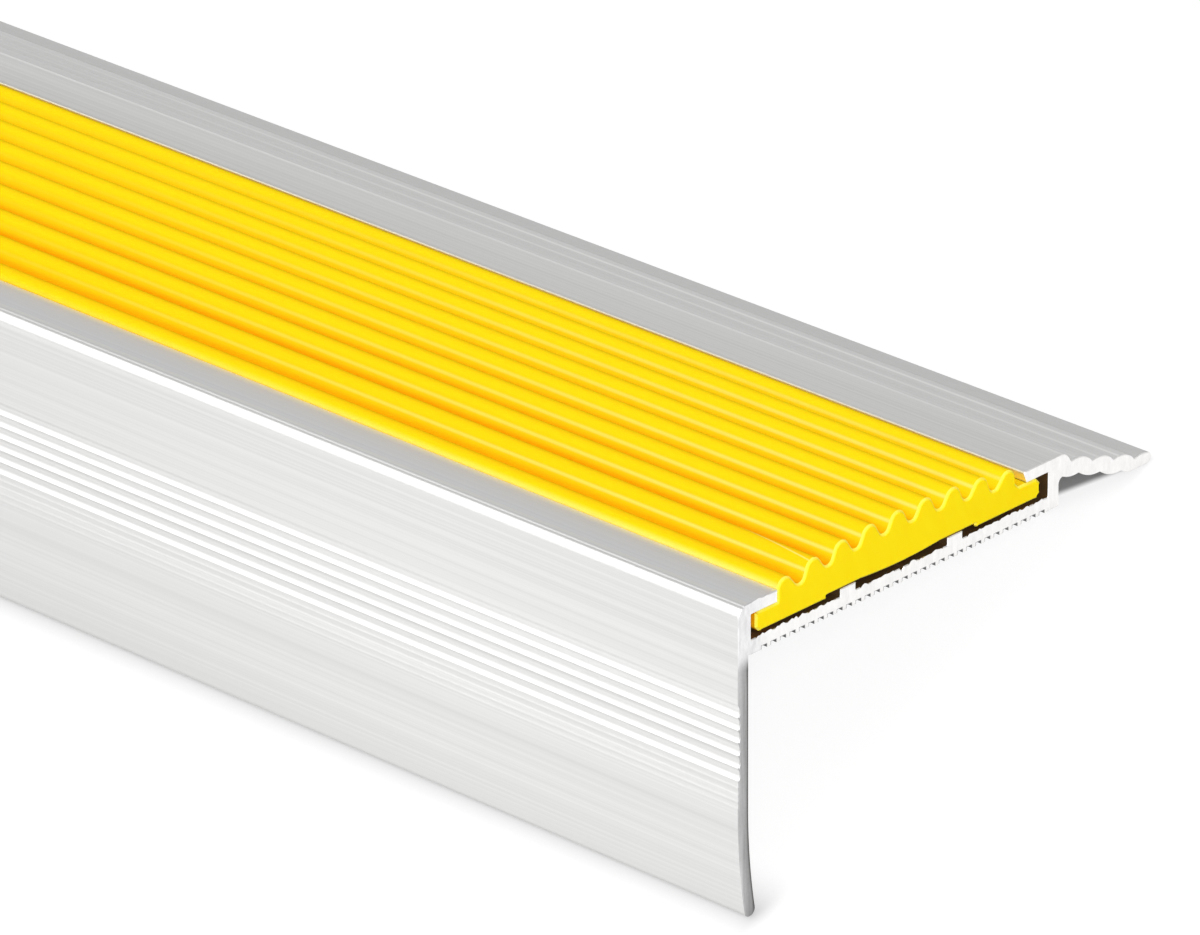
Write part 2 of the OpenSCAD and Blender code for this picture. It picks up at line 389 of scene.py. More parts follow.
def front_points():
    """Nose with the fine line that the die leaves along it, then the flutes down the leg."""
    points = []
    for i in range(NOSE_STEPS + 1):
        a = 90 * i / NOSE_STEPS
        r = NOSE_R - NOSE_LINE_D * exp(-(((a - NOSE_LINE_A) / NOSE_LINE_W) ** 2))
        points.append(Vector((NOSE_R - r * sin(radians(a)), TOP_Z - NOSE_R + r * cos(radians(a)))))
    for i in range(FLUTE_N):
        top = -FLUTE_DROP - i * FLUTE_PITCH
        points += bow((0, top), (0, top - FLUTE_PITCH), FLUTE_D, 14)
    for i in range(FINE_N):
        top = FINE_Z - i * FINE_PITCH
        points += bow((0, top), (0, top - FINE_PITCH), FINE_D, 8)
    return points


def leg_points():
    """Lower leg round its end and back up to the corner under the tread."""
    points = arc(TOE_C, TOE_R + LEG_T / 2, 180, 180 + TOE_A, 24)
    points += arc(LEG_END, LEG_T / 2, 180 + TOE_A, 360 + TOE_A, 24)
    points += arc(TOE_C, TOE_R - LEG_T / 2, 180 + TOE_A, 180, 24)
    return points + [(LEG_T, 0)]


def profile_outline():
    """Whole outline of the extrusion, with its corners eased."""
    points = bed_points() + ramp_points() + channel_points() + front_points() + leg_points()
    return eased(without_repeats(points), METAL_EASE)


# Section of the insert

INSERT_F = LIP_END_F + FRONT_GAP
INSERT_R = LIP_END_R - REAR_GAP
RIB_N = floor((INSERT_R - INSERT_F - 2 * CREST_R) / RIB_PITCH_MIN) + 1
RIB_PITCH = (INSERT_R - INSERT_F - 2 * CREST_R) / (RIB_N - 1)
INSERT_MID = (INSERT_F + INSERT_R) / 2
CROWN_SPAN = (RIB_N - 1) / 2 * RIB_PITCH
CROWN_R = (CROWN_SPAN**2 + CROWN**2) / (2 * CROWN)
CREST_MID = TOP_Z + RIB_RISE + CROWN


def crest_z(y):
    """Height of the crowned line that the rib crests follow."""
    return CREST_MID - CROWN_R + sqrt(CROWN_R**2 - (y - INSERT_MID) ** 2)


def crest_c(i):
    """Middle of the round crest of rib i."""
    y = INSERT_MID + (i - (RIB_N - 1) / 2) * RIB_PITCH
    return Vector((y, crest_z(y) - CREST_R))


def groove_c(i):
    """Middle of the round groove after rib i."""
    y = INSERT_MID + (i + 0.5 - (RIB_N - 1) / 2) * RIB_PITCH
    return Vector((y, crest_z(y) - GROOVE_D + GROOVE_R))


def flank(a, b, side):
    """Angle at which the straight flank leaves both round parts."""
    v = b - a
    return degrees(atan2(v.y, v.x)) + side * degrees(acos((CREST_R + GROOVE_R) / v.length))


def rib_points():
    """Ribs and grooves from front to rear."""
    points = []
    for i in range(RIB_N):
        start = 180 if i == 0 else flank(groove_c(i - 1), crest_c(i), -1) + 180
        end = 0 if i == RIB_N - 1 else flank(crest_c(i), groove_c(i), 1)
        points += arc(crest_c(i), CREST_R, start, end, 22)
        if i < RIB_N - 1:
            down = flank(crest_c(i), groove_c(i), 1) + 180
            up = flank(groove_c(i), crest_c(i + 1), -1) + 360
            points += arc(groove_c(i), GROOVE_R, down, up, 14)
    return points


def insert_outline():
    """Whole outline of the insert, with its corners eased."""
    top = LIP_Z - LIP_GAP
    low = top - TONGUE_T
    front = WALL_F + TONGUE_GAP_FRONT
    rear = WALL_R - TONGUE_GAP_REAR
    half = RAIL_SPACING / 2 + RAIL_W / 2 + RECESS_MARGIN
    edge = (RAIL_TOP - low) / 2
    flat = RAIL_SPACING / 2 - RAIL_W / 2 - BELLY_MARGIN
    points = [(front, top), (INSERT_F, top)]
    points += rib_points()
    points += [(INSERT_R, top + SHOULDER), (INSERT_R + SHOULDER, top)]
    points += [(rear - TONGUE_CHAMFER, top), (rear, top - TONGUE_CHAMFER)]
    points += [(rear, low + TONGUE_CHAMFER), (rear - TONGUE_CHAMFER, low)]
    points += [(MID_Y + half + edge, low), (MID_Y + half, low + edge), (MID_Y + half, RAIL_TOP)]
    points += bow((MID_Y + flat, RAIL_TOP), (MID_Y - flat, RAIL_TOP), BELLY, 20)
    points += [(MID_Y - half, RAIL_TOP), (MID_Y - half, low + edge), (MID_Y - half - edge, low)]
    points += [(front + TONGUE_CHAMFER, low), (front, low + TONGUE_CHAMFER)]
    return eased(without_repeats(points), INSERT_EASE)


# Where a point of the insert's section is on its ribs, for the finish


def rib_lean(p, i):
    """How far the crest of rib i leans to the front at a point, in degrees, or OFF_RIB away from it."""
    v = p - crest_c(i)
    return degrees(atan2(-v.x, v.y)) if abs(v.length - CREST_R) < ON_RIB else OFF_RIB


def flank_run(p, i):
    """How far a point lies past the front end of rib i's crest, down its flank, or None away from both."""
    crest_end = radians(flank(groove_c(i - 1), crest_c(i), -1) + 180)
    if rib_lean(p, i) != OFF_RIB:
        return CREST_R * (radians(rib_lean(p, i) + 90) - crest_end)
    out = Vector((cos(crest_end), sin(crest_end)))
    down = Vector((-out.y, out.x))
    v = p - crest_c(i)
    run = v.dot(down)
    on_flank = abs(v.dot(out) - CREST_R) < ON_RIB and 0 <= run < RIB_PITCH / 3
    return run if on_flank else None


def shoulder(p):
    """1 along the front shoulder of a rib, where a highlight is painted, falling to 0 on either side."""
    best = max(0.0, 1 - abs(rib_lean(p, 0) - FRONT_SHOULDER_A) / FRONT_SHOULDER_W)
    for i in range(1, RIB_N):
        run = flank_run(p, i)
        if run is not None:
            best = max(best, 1 - abs(run - SHOULDER_DOWN) / SHOULDER_W)
    return best


def rear_side(p):
    """1 on the rear side of a rib, which falls into the groove behind it, and 0 on its crest and front."""
    for i in range(RIB_N - 1):
        v = p - crest_c(i)
        if 0 < v.x < RIB_PITCH / 2:
            lean = degrees(atan2(v.x, v.y))
            return min(1.0, max(0.0, (lean - REAR_SIDE_A) / REAR_SIDE_W))
    return 0.0


def groove_depth(p):
    """Depth of a point: 0 on a crest, up to 1 in a groove, 2 on the front tongue and 3 underneath."""
    if p.y < LIP_Z - LIP_GAP - TONGUE_T + UNDERSIDE_H and INSERT_F < p.x < INSERT_R:
        return UNDERNEATH
    if p.x < INSERT_F - TONGUE_EDGE:
        return ON_TONGUE
    if not crest_c(0).x < p.x < crest_c(RIB_N - 1).x:
        return 0.0
    return min(IN_GROOVE, max(0.0, (crest_z(p.x) - p.y) / GROOVE_D))


# Node trees


class Nodes:
    """Short way to add and join the nodes of one tree."""

    def __init__(self, tree):
        self.tree = tree

    def add(self, kind, inputs=None, **settings):
        node = self.tree.nodes.new(kind)
        for name, value in settings.items():
            setattr(node, name, value)
        for key, value in (inputs or {}).items():
            if isinstance(value, bpy.types.NodeSocket):
                self.tree.links.new(value, node.inputs[key])
            else:
                node.inputs[key].default_value = value
        return node

    def math(self, operation, a, b=0.0):
        return self.add("ShaderNodeMath", {0: a, 1: b}, operation=operation).outputs[0]

    def plus(self, a, b):
        return self.math("ADD", a, b)

    def minus(self, a, b):
        return self.math("SUBTRACT", a, b)

    def times(self, a, b):
        return self.math("MULTIPLY", a, b)

    def larger(self, a, b):
        return self.math("MAXIMUM", a, b)

    def distance(self, a, b):
        return self.math("SQRT", self.plus(self.times(a, a), self.times(b, b)))

    def mix(self, amount, a, b):
        node = self.add("ShaderNodeMix", {0: amount, 6: a, 7: b}, data_type="RGBA")
        return node.outputs[2]

    def range(self, value, low, high, to_low, to_high, smooth=False):
        kind = "SMOOTHSTEP" if smooth else "LINEAR"
        inputs = {0: value, 1: low, 2: high, 3: to_low, 4: to_high}
        return self.add("ShaderNodeMapRange", inputs, interpolation_type=kind).outputs[0]

    def between(self, value, low, high, soft):
        rise = self.range(value, low - soft, low + soft, 0.0, 1.0)
        return self.times(rise, self.range(value, high - soft, high + soft, 1.0, 0.0))

    def inside(self, y, y_low, y_high, z, z_low, z_high, soft):
        across = self.between(y, y_low, y_high, soft)
        return self.times(across, self.between(z, z_low, z_high, soft))

    def noise(self, where, scale, detail=2.0, rough=0.5):
        inputs = {"Vector": where, "Scale": scale, "Detail": detail, "Roughness": rough}
        return self.add("ShaderNodeTexNoise", inputs).outputs[0]

    def stretched(self, where, scale):
        return self.add("ShaderNodeMapping", {"Vector": where, "Scale": scale}).outputs[0]

    def bump(self, strength, distance, height):
        inputs = {"Strength": strength, "Distance": distance, "Height": height}
        return self.add("ShaderNodeBump", inputs).outputs[0]

    def attribute(self, name):
        return self.add("ShaderNodeAttribute", attribute_name=name).outputs["Fac"]

    def stored(self, name, kind):
        return self.add("GeometryNodeInputNamedAttribute", {"Name": name}, data_type=kind).outputs[0]

    def along(self, x):
        return self.add("ShaderNodeCombineXYZ", {0: x}).outputs[0]

    def split(self, vector):
        return self.add("ShaderNodeSeparateXYZ", {0: vector}).outputs


# Finishes


def new_finish(name):
    """A material with an empty tree, its principled shader and object coordinates."""
    finish = bpy.data.materials.new(name)
    finish.use_nodes = True
    finish.node_tree.nodes.clear()
    nodes = Nodes(finish.node_tree)
    shader = nodes.add("ShaderNodeBsdfPrincipled")
    out = nodes.add("ShaderNodeOutputMaterial")
    finish.node_tree.links.new(shader.outputs[0], out.inputs[0])
    where = nodes.add("ShaderNodeTexCoord").outputs["Object"]
    return finish, nodes, shader, where


def section_place(nodes, where):
    """The section set upright, and a point's place along the stock, depth and height in millimetres."""
    turn = nodes.add("ShaderNodeVectorRotate", {"Vector": where, "Angle": REST_A}, rotation_type="X_AXIS")
    upright = turn.outputs[0]
    shift = {0: upright, 1: (1000, 1000, 1000), 2: (0, SECTION_Y, SECTION_Z)}
    spot = nodes.add("ShaderNodeVectorMath", shift, operation="MULTIPLY_ADD").outputs[0]
    return upright, *nodes.split(spot)


def lip_tones(nodes, colour, y, z):
    """Front lip with a painted cool, darker reflection, coolest beside the insert, and the rear lip's edge
    with a painted yellow reflection of the insert over painted shade lower down.
    """
    # Painted reflection: the front lip is tinted a cooler, darker grey, and coolest beside the insert
    on_lip = nodes.inside(y, NOSE_R + 0.4, LIP_END_F + 0.1, z, TOP_Z - 0.1, TOP_Z + 0.1, 0.05)
    colour = nodes.mix(nodes.times(on_lip, 0.6), colour, (0.7, 0.72, 0.77, 1))
    cool_reflection_by_insert = nodes.times(on_lip, nodes.range(y, LIP_END_F - 1.8, LIP_END_F, 0.0, 0.85))
    colour = nodes.mix(cool_reflection_by_insert, colour, (0.74, 0.79, 0.95, 1))
    # Painted reflection of the yellow insert on the rear lip's edge, with painted shade lower down that edge
    rear_edge_reflection = nodes.inside(y, LIP_END_R - 0.02, LIP_END_R + 0.45, z, LIP_Z, TOP_Z - 0.04, 0.03)
    low_edge_shade = nodes.range(z, TOP_Z - 0.3, TOP_Z - 0.12, 1.0, 0.0)
    edge_reflection_and_shade = nodes.mix(low_edge_shade, (0.56, 0.53, 0.47, 1), (1.0, 0.9, 0.45, 1))
    return nodes.mix(rear_edge_reflection, colour, edge_reflection_and_shade)


def ramp_tones(nodes, colour, on_ramp, x, y):
    """Ramp, with painted shade that makes it greyer than the lips and darkest at its tip, and a painted
    highlight line along each roll.
    """
    colour = nodes.mix(nodes.times(on_ramp, 0.8), colour, (0.62, 0.62, 0.615, 1))
    # Painted shade, darkest at the ramp's tip
    tip_shade = nodes.range(y, valley(ROLL_N).x - 0.3, valley(ROLL_N).x + 0.3, 0.0, 0.3)
    colour = nodes.mix(tip_shade, colour, (0.4, 0.4, 0.395, 1))
    # Painted highlight line along each roll, strongest near the sawn end
    highlight_fade = nodes.range(x, *RAMP_HIGHLIGHT_RUN, 0.25, 1.0)
    for i, share in enumerate(ROLL_HIGHLIGHT_SHARES):
        crest = nodes.between(y, valley(i).x + 0.85, valley(i).x + 1.25, 0.12)
        colour = nodes.mix(nodes.times(crest, nodes.times(highlight_fade, share)), colour, (0.8, 0.8, 0.79, 1))
    return colour


def front_tones(nodes, colour, x, y, z):
    """Front face, with painted shade away from the sawn end and down the lower leg."""
    # Painted shade: a darker grey away from the sawn end and down the lower leg
    front_shade_tone = (0.6, 0.6, 0.595, 1)
    on_front = nodes.inside(y, -2.0, 1.35, z, -LEG_DROP - 2.0, TOP_Z - NOSE_R - 0.5, 0.15)
    colour = nodes.mix(nodes.times(on_front, nodes.range(x, *FRONT_SHADE_RUN, 0.34, 0.0)), colour, front_shade_tone)
    return nodes.mix(nodes.range(z, -LEG_BEND - 3, -LEG_BEND + 2, 0.35, 0.0, True), colour, front_shade_tone)


def hidden_tones(nodes, colour, y, z):
    """Painted shade in the grip lines under the floor and inside the channel."""
    # Painted shade: dark grip grooves, and a dark brown inside of the channel
    grip_line_shade = nodes.inside(y, LEG_T + 0.5, BACK_Y - 0.2, z, 0.03, GRIP_D + 0.06, 0.02)
    colour = nodes.mix(grip_line_shade, colour, (0.22, 0.22, 0.22, 1))
    low = FLOOR_T - GUIDE_D - 0.1
    channel_shade = nodes.inside(y, WALL_F + 0.05, WALL_R + 0.05, z, low, LIP_Z + 0.02, 0.01)
    return nodes.mix(channel_shade, colour, (0.26, 0.165, 0.075, 1))


def mill_aluminium():
    """Mill-finish aluminium, with die lines that run along the stock, and painted shade, highlights and
    reflections on some of its faces.
    """
    finish, nodes, shader, where = new_finish("mill_aluminium")
    link = finish.node_tree.links.new
    _, x, y, z = section_place(nodes, where)
    broad = nodes.noise(nodes.stretched(where, (1.2, 260, 260)), 1.0, 3.0, 0.6)
    fine = nodes.noise(nodes.stretched(where, (2.5, 2000, 2000)), 1.0, 2.0, 0.7)
    clouds = nodes.noise(nodes.stretched(where, (14, 40, 40)), 1.0, 3.0)
    lines = nodes.plus(nodes.times(broad, 0.5), nodes.times(fine, 0.5))
    tone = nodes.range(lines, 0.36, 0.64, 0.0, 1.0)
    on_ramp = nodes.range(y, BACK_Y + LIP_RUN - 0.6, BACK_Y + LIP_RUN + 1.2, 0.0, 1.0, True)

    colour = nodes.mix(tone, (0.7, 0.7, 0.69, 1), (0.84, 0.84, 0.83, 1))
    colour = lip_tones(nodes, colour, y, z)
    colour = ramp_tones(nodes, colour, on_ramp, x, y)
    colour = front_tones(nodes, colour, x, y, z)
    colour = hidden_tones(nodes, colour, y, z)
    link(colour, shader.inputs["Base Color"])

    rough = nodes.plus(nodes.range(tone, 0.0, 1.0, 0.37, 0.33), nodes.range(clouds, 0.3, 0.7, -0.03, 0.05))
    link(nodes.plus(rough, nodes.times(on_ramp, 0.12)), shader.inputs["Roughness"])
    link(nodes.range(on_ramp, 0.0, 1.0, 0.75, 0.3), shader.inputs["Metallic"])
    shader.inputs["Specular IOR Level"].default_value = 0.3
    shader.inputs["Anisotropic"].default_value = 0.5
    shader.inputs["Anisotropic Rotation"].default_value = 0.25
    link(nodes.along(1.0), shader.inputs["Tangent"])
    link(nodes.bump(0.07, 0.00002, lines), shader.inputs["Normal"])
    return finish


def grip_dash_shade(nodes, y, z):
    """Share of the painted shade over the ends of the grip lines on the cut, which makes their dark dashes
    longer.
    """
    first = WALL_F + GRIP_START - GRIP_PITCH / 2
    phase = nodes.math("FRACT", nodes.math("DIVIDE", nodes.minus(y, first), GRIP_PITCH))
    off = nodes.times(nodes.math("ABSOLUTE", nodes.minus(phase, 0.5)), GRIP_PITCH)
    dash_shade = nodes.times(nodes.range(off, 0.42, 0.54, 0.95, 0.0), nodes.between(y, first, WALL_R, 0.05))
    return nodes.times(dash_shade, nodes.range(z, GRIP_D, GRIP_D + 0.1, 1.0, 0.0))


def leg_cut_shade(nodes, upright, y, z):
    """Tone of the leg's cut: painted grey shade with marks down it, and a painted dark shadow line along its
    rear edge.
    """
    below = nodes.larger(nodes.minus(-LEG_BEND, z), 0.0)
    ahead = nodes.minus(TOE_C.x, y)
    across = nodes.minus(nodes.distance(below, ahead), TOE_R - LEG_T / 2)
    marks = nodes.noise(nodes.stretched(upright, (1, 2200, 110)), 1.0, 3.0, 0.6)
    grey = nodes.plus(nodes.range(across, 0.4, LEG_T, 0.33, 0.5), nodes.range(marks, 0.3, 0.7, -0.08, 0.08))
    return nodes.mix(nodes.range(across, 0.15, 0.45, 1.0, 0.0), grey, (0.1, 0.097, 0.095, 1))


def sawn_aluminium():
    """Sawn end of the extrusion: pale, with the fine marks of the blade, painted shade over the grip lines,
    and painted grey shade down the leg.
    """
    finish, nodes, shader, where = new_finish("sawn_aluminium")
    link = finish.node_tree.links.new
    upright, _, y, z = section_place(nodes, where)
    marks = nodes.noise(nodes.stretched(upright, (1, 1500, 500)), 1.0, 3.0, 0.65)
    tone = nodes.range(marks, 0.3, 0.7, 0.0, 1.0)
    pale = nodes.mix(tone, (0.84, 0.83, 0.825, 1), (0.93, 0.92, 0.91, 1))
    front = nodes.mix(tone, (0.7, 0.695, 0.7, 1), (0.88, 0.88, 0.885, 1))
    colour = nodes.mix(nodes.range(y, WALL_F, WALL_F + 3.0, 1.0, 0.0, True), pale, front)
    # Painted shade over the ends of the grip lines
    colour = nodes.mix(grip_dash_shade(nodes, y, z), colour, (0.15, 0.15, 0.16, 1))
    # Painted shade: grey down the leg's cut, with a painted dark line along its rear edge
    colour = nodes.mix(nodes.range(z, -1.8, 0.4, 1.0, 0.0, True), colour, leg_cut_shade(nodes, upright, y, z))
    link(colour, shader.inputs["Base Color"])
    grain = nodes.noise(where, 2600.0, 2.0)
    link(nodes.range(grain, 0.3, 0.7, 0.42, 0.58), shader.inputs["Roughness"])
    shader.inputs["Metallic"].default_value = 1.0
    link(nodes.bump(0.2, 0.00003, marks), shader.inputs["Normal"])
    return finish


def new_vinyl(name, lines_scale):
    """A material for the insert, satin and a little translucent, with the lines that are pressed into it."""
    finish, nodes, shader, where = new_finish(name)
    link = finish.node_tree.links.new
    lines = nodes.noise(nodes.stretched(where, lines_scale), 1.0, 3.0, 0.55)
    link(nodes.range(lines, 0.3, 0.7, 0.42, 0.52), shader.inputs["Roughness"])
    shader.inputs["Specular IOR Level"].default_value = 0.0
    shader.inputs["Subsurface Weight"].default_value = 0.2
    shader.inputs["Subsurface Radius"].default_value = (1.0, 0.4, 0.05)
    shader.inputs["Subsurface Scale"].default_value = 0.0008
    link(nodes.bump(0.12, 0.00002, lines), shader.inputs["Normal"])
    return finish, nodes, shader, where, lines


def groove_shade_share(nodes, depth, lines, y):
    """Share of the deeper orange painted shade: in the grooves and behind the ribs, least in the first
    groove.
    """
    faint = nodes.range(lines, 0.3, 0.7, -0.05, 0.05)
    share = nodes.plus(nodes.range(depth, 0.6, 1.05, 0.0, 1.0, True), faint)
    share = nodes.larger(share, nodes.times(nodes.attribute("rear_side"), 0.9))
    return nodes.times(share, nodes.range(y, groove_c(0).x + 1, groove_c(1).x - 1, 0.65, 1.0))


def shoulder_highlight_share(nodes, x, y):
    """Share of the painted highlight on the shoulders of the ribs, fading away from the sawn end, less on
    the last one.
    """
    highlight_fade = nodes.range(x, *RIB_HIGHLIGHT_RUN, 0.05, 1.0)
    last_rib = nodes.range(y, crest_c(RIB_N - 2).x + 1, crest_c(RIB_N - 1).x - 1, 1.0, 0.7)
    edge = nodes.range(nodes.attribute("shoulder"), 0.0, 1.0, 0.0, 1.0, True)
    return nodes.times(edge, nodes.times(highlight_fade, last_rib))


def scuff(nodes, x):
    """A pale scuff that crosses the crest of one rib near the sawn end."""
    line = nodes.range(x, LENGTH / 2 - SCUFF_RUN, LENGTH / 2, SCUFF_START_A, SCUFF_END_A)
    off = nodes.math("ABSOLUTE", nodes.minus(nodes.attribute("scuffed_lean"), line))
    fade = nodes.range(x, LENGTH / 2 - SCUFF_RUN, LENGTH / 2 - SCUFF_RUN / 2, 0.0, 0.9)
    return nodes.times(nodes.range(off, 0.0, SCUFF_W, 1.0, 0.0, True), fade)


def yellow_vinyl():
    """Soft yellow plastic, with painted shade in the grooves and underneath, a painted glow on the front
    tongue, and a painted highlight on the shoulders of the ribs.
    """
    finish, nodes, shader, where, lines = new_vinyl("yellow_vinyl", (2, 1500, 1500))
    _, x, y, _ = section_place(nodes, where)
    depth = nodes.attribute("groove_depth")
    to_rear = nodes.range(y, INSERT_F, INSERT_R, 0.0, 1.0)
    crest = nodes.mix(to_rear, (0.98, 0.61, 0.006, 1), (0.98, 0.69, 0.008, 1))
    # Painted shade: a deeper orange for the grooves and the rear sides of the ribs
    groove = nodes.mix(to_rear, (0.89, 0.3, 0.0005, 1), (1.0, 0.7, 0.006, 1))
    colour = nodes.mix(groove_shade_share(nodes, depth, lines, y), crest, groove)
    pale = nodes.larger(shoulder_highlight_share(nodes, x, y), scuff(nodes, x))
    # Painted highlight on the rib shoulders; the pale scuff shares this colour
    colour = nodes.mix(pale, colour, (1.0, 0.75, 0.15, 1))
    # Painted glow: deep orange on the front tongue, for light that passes through the plastic
    tongue_glow = nodes.range(depth, IN_GROOVE, ON_TONGUE, 0.0, 1.0)
    colour = nodes.mix(tongue_glow, colour, (1.0, 0.42, 0.003, 1))
    # Painted shade: dark brown on the underside, which darkens the gap below the insert
    underside_shade = nodes.range(depth, ON_TONGUE, UNDERNEATH, 0.0, 1.0)
    colour = nodes.mix(underside_shade, colour, (0.32, 0.135, 0.008, 1))
    finish.node_tree.links.new(colour, shader.inputs["Base Color"])
    return finish


def cut_vinyl():
    """Sawn end of the insert, with a painted highlight on the rim where its edge is broken."""
    finish, nodes, shader, _, lines = new_vinyl("cut_yellow_vinyl", (1, 700, 160))
    tint = nodes.range(lines, 0.3, 0.7, 0.0, 0.4)
    colour = nodes.mix(tint, (1.0, 0.765, 0.01, 1), (0.97, 0.68, 0.005, 1))
    # Painted highlight on the broken rim of the cut
    rim = nodes.range(nodes.attribute("rim"), 0.0, 0.6, 0.0, 0.8)
    colour = nodes.mix(rim, colour, (1.0, 0.86, 0.12, 1))
    finish.node_tree.links.new(colour, shader.inputs["Base Color"])
    return finish


# One section run along the stock

STOCK_INPUTS = (
    ("Length", "Float"),
    ("Edge Break", "Float"),
    ("Burr", "Float"),
    ("Burr Seed", "Float"),
    ("Side Finish", "Material"),
    ("Cut Finish", "Material"),
)


def run_section(nodes, given, half):
    """The section run along the stock, with a short stretch at each end for the break, and closed."""
    back = {"Geometry": given["Section"], "Offset": nodes.along(nodes.times(half, -1.0))}
    start = nodes.add("GeometryNodeSetPosition", back).outputs[0]
    middle = nodes.minus(given["Length"], nodes.times(given["Edge Break"], 2.0))
    body = start
    top = True
    for step in (given["Edge Break"], middle, given["Edge Break"]):
        way = {"Offset": nodes.along(1.0), "Offset Scale": step, "Individual": False}
        run = nodes.add("GeometryNodeExtrudeMesh", {"Mesh": body, "Selection": top, **way}, mode="FACES")
        body = run.outputs["Mesh"]
        top = run.outputs["Top"]
    far_end = nodes.add("GeometryNodeFlipFaces", {"Mesh": start}).outputs[0]
    both = nodes.add("GeometryNodeJoinGeometry")
    nodes.tree.links.new(far_end, both.inputs[0])
    nodes.tree.links.new(body, both.inputs[0])
    touching = {"Geometry": both.outputs[0], "Distance": 1e-6}
    return nodes.add("GeometryNodeMergeByDistance", touching).outputs[0]


def broken_ends(nodes, given, half, closed):
    """The stock with the edges of its sawn ends broken, except where the saw left a burr."""
    place = nodes.add("GeometryNodeInputPosition").outputs[0]
    reach = nodes.minus(half, nodes.times(given["Edge Break"], 0.5))
    at_end = nodes.math("GREATER_THAN", nodes.math("ABSOLUTE", nodes.split(place)[0]), reach)
    shift = {0: place, 1: nodes.along(given["Burr Seed"])}
    seeded = nodes.add("ShaderNodeVectorMath", shift, operation="ADD").outputs[0]
    height = nodes.range(nodes.noise(seeded, BURR_SCALE, 2.0, 0.6), 0.36, 0.66, 0.0, 1.0)
    burr = nodes.times(nodes.times(height, given["Burr"]), nodes.stored("ragged", "FLOAT"))
    inwards = {0: nodes.stored("inward", "FLOAT_VECTOR"), "Scale": nodes.minus(given["Edge Break"], burr)}
    move = nodes.add("ShaderNodeVectorMath", inwards, operation="SCALE").outputs[0]
    moved = {"Geometry": closed, "Selection": at_end, "Offset": move}
    broken = nodes.add("GeometryNodeSetPosition", moved).outputs[0]
    rim = {"Geometry": broken, "Name": "rim", "Value": nodes.minus(1.0, at_end)}
    return nodes.add("GeometryNodeStoreNamedAttribute", rim, data_type="FLOAT").outputs[0]


def soft_sides(nodes, broken):
    """The stock shaded smooth along its gentle curves, and sharp at its corners and sawn ends."""
    angle = nodes.add("GeometryNodeInputMeshEdgeAngle").outputs[0]
    ends = nodes.add("GeometryNodeInputMeshEdgeVertices").outputs
    span = nodes.add("ShaderNodeVectorMath", {0: ends[2], 1: ends[3]}, operation="SUBTRACT").outputs[0]
    lengthwise = nodes.math("GREATER_THAN", nodes.math("ABSOLUTE", nodes.split(span)[0]), 1e-5)
    soft = nodes.times(nodes.math("LESS_THAN", angle, radians(SMOOTH_BEND)), lengthwise)
    faces = {"Geometry": broken, "Shade Smooth": True}
    smooth = nodes.add("GeometryNodeSetShadeSmooth", faces, domain="FACE").outputs[0]
    edges = {"Geometry": smooth, "Shade Smooth": soft}
    return nodes.add("GeometryNodeSetShadeSmooth", edges, domain="EDGE").outputs[0]


def finished_stock(nodes, given, smooth):
    """The stock with its side finish, and its cut finish on the faces that look along it."""
    facing = nodes.split(nodes.add("GeometryNodeInputNormal").outputs[0])[0]
    is_cut = nodes.math("GREATER_THAN", nodes.math("ABSOLUTE", facing), CUT_FACING)
    real = nodes.add("GeometryNodeRealizeInstances", {"Geometry": smooth}).outputs[0]
    side = {"Geometry": real, "Material": given["Side Finish"]}
    sides = nodes.add("GeometryNodeSetMaterial", side).outputs[0]
    cut = {"Geometry": sides, "Selection": is_cut, "Material": given["Cut Finish"]}
    return nodes.add("GeometryNodeSetMaterial", cut).outputs[0]


def stock_tree():
    """Geometry nodes that run a section along the stock and break the edges of its sawn ends."""
    tree = bpy.data.node_groups.new("stock_run", "GeometryNodeTree")
    face = tree.interface
    face.new_socket("Section", in_out="INPUT", socket_type="NodeSocketGeometry")
    inputs = {}
    for name, kind in STOCK_INPUTS:
        inputs[name] = face.new_socket(name, in_out="INPUT", socket_type="NodeSocket" + kind).identifier
    face.new_socket("Stock", in_out="OUTPUT", socket_type="NodeSocketGeometry")
    nodes = Nodes(tree)
    given = nodes.add("NodeGroupInput").outputs
    half = nodes.times(given["Length"], 0.5)
    closed = run_section(nodes, given, half)
    broken = broken_ends(nodes, given, half, closed)
    done = finished_stock(nodes, given, soft_sides(nodes, broken))
    tree.links.new(done, nodes.add("NodeGroupOutput").inputs[0])
    return tree, inputs


def keep_on_points(mesh, name, values):
    """Keep one number for each point of a section."""
    store = mesh.attributes.new(name, "FLOAT", "POINT")
    for spot, value in zip(store.data, values):
        spot.value = value


def section_plate(name, outline, step, edge_break):
    """The section as one flat face with its inward directions, ready to run along the stock."""
    points = divided(outline, step)
    mesh = bpy.data.meshes.new(name)
    mesh.from_pydata([(0.0, *placed(p)) for p in points], [], [list(range(len(points)))])
    if mesh.polygons[0].normal.x < 0:
        mesh.flip_normals()
    store = mesh.attributes.new("inward", "FLOAT_VECTOR", "POINT")
    for spot, way in zip(store.data, inward(points, edge_break * 1000)):
        spot.vector = (0.0, *turned(way))
    keep_on_points(mesh, "ragged", ragged_edge(points))
    return mesh, points


def run_stock(name, mesh, tree, inputs, values):
    """A finished piece: the section run along the stock, as a plain mesh."""
    piece = bpy.data.objects.new(name, mesh)
    bpy.context.scene.collection.objects.link(piece)
    run = piece.modifiers.new("stock_run", "NODES")
    run.node_group = tree
    for key, value in values.items():
        run[inputs[key]] = value
    piece.update_tag()
    shaped = piece.evaluated_get(bpy.context.evaluated_depsgraph_get())
    piece.data = bpy.data.meshes.new_from_object(shaped)
    piece.modifiers.clear()
    piece.data.name = name
    return piece


# The two pieces

tree, tree_inputs = stock_tree()

